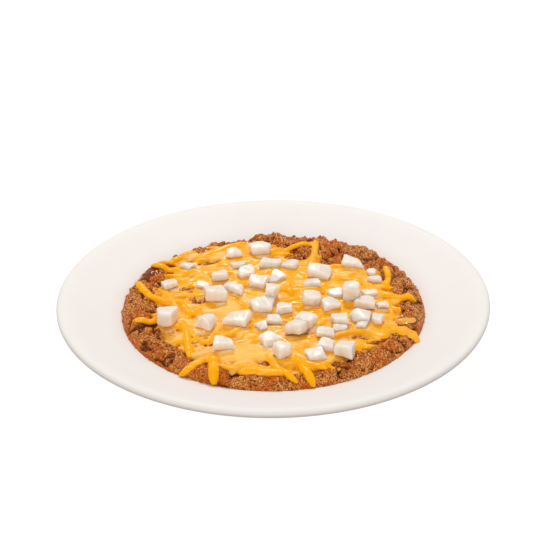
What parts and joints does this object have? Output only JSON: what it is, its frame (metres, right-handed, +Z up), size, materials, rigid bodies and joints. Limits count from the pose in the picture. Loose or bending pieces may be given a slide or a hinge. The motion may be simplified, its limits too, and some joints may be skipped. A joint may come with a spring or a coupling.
{
  "type": "chili con carne in a soup plate",
  "caption": "Minced beef chili in a wide-rimmed white soup plate, topped with a net of melted Cheddar shreds and diced white onion.",
  "frame": {"origin": "on the table under the middle of the plate's foot ring", "axes": "+Z up out of the plate; +X to the right and +Y away as it is served"},
  "size_m": [0.23, 0.23, 0.0443],
  "materials": {
    "soup_plate": "satin cream-white glaze",
    "chili": "moist, grainy brown minced beef in sauce",
    "cheese": "glossy melted orange Cheddar",
    "onion": "moist, slightly translucent white"
  },
  "bodies": {
    "root": {"soup_plate": "soup_plate", "chili": "chili", "cheese": "cheese", "onion_01": "onion", "onion_02": "onion", "onion_03": "onion", "onion_04": "onion", "onion_05": "onion", "onion_06": "onion", "onion_07": "onion", "onion_08": "onion", "onion_09": "onion", "onion_10": "onion", "onion_11": "onion", "onion_12": "onion", "onion_13": "onion", "onion_14": "onion", "onion_15": "onion", "onion_16": "onion", "onion_17": "onion", "onion_18": "onion", "onion_19": "onion", "onion_20": "onion", "onion_21": "onion", "onion_22": "onion", "onion_23": "onion", "onion_24": "onion", "onion_25": "onion", "onion_26": "onion", "onion_27": "onion", "onion_28": "onion", "onion_29": "onion", "onion_30": "onion", "onion_31": "onion", "onion_32": "onion", "onion_33": "onion", "onion_34": "onion", "onion_35": "onion", "onion_36": "onion", "onion_37": "onion", "onion_38": "onion", "onion_39": "onion", "onion_40": "onion", "onion_41": "onion", "onion_42": "onion", "onion_43": "onion", "onion_44": "onion", "onion_45": "onion", "onion_46": "onion", "onion_47": "onion", "onion_48": "onion"}
  },
  "joints": []
}
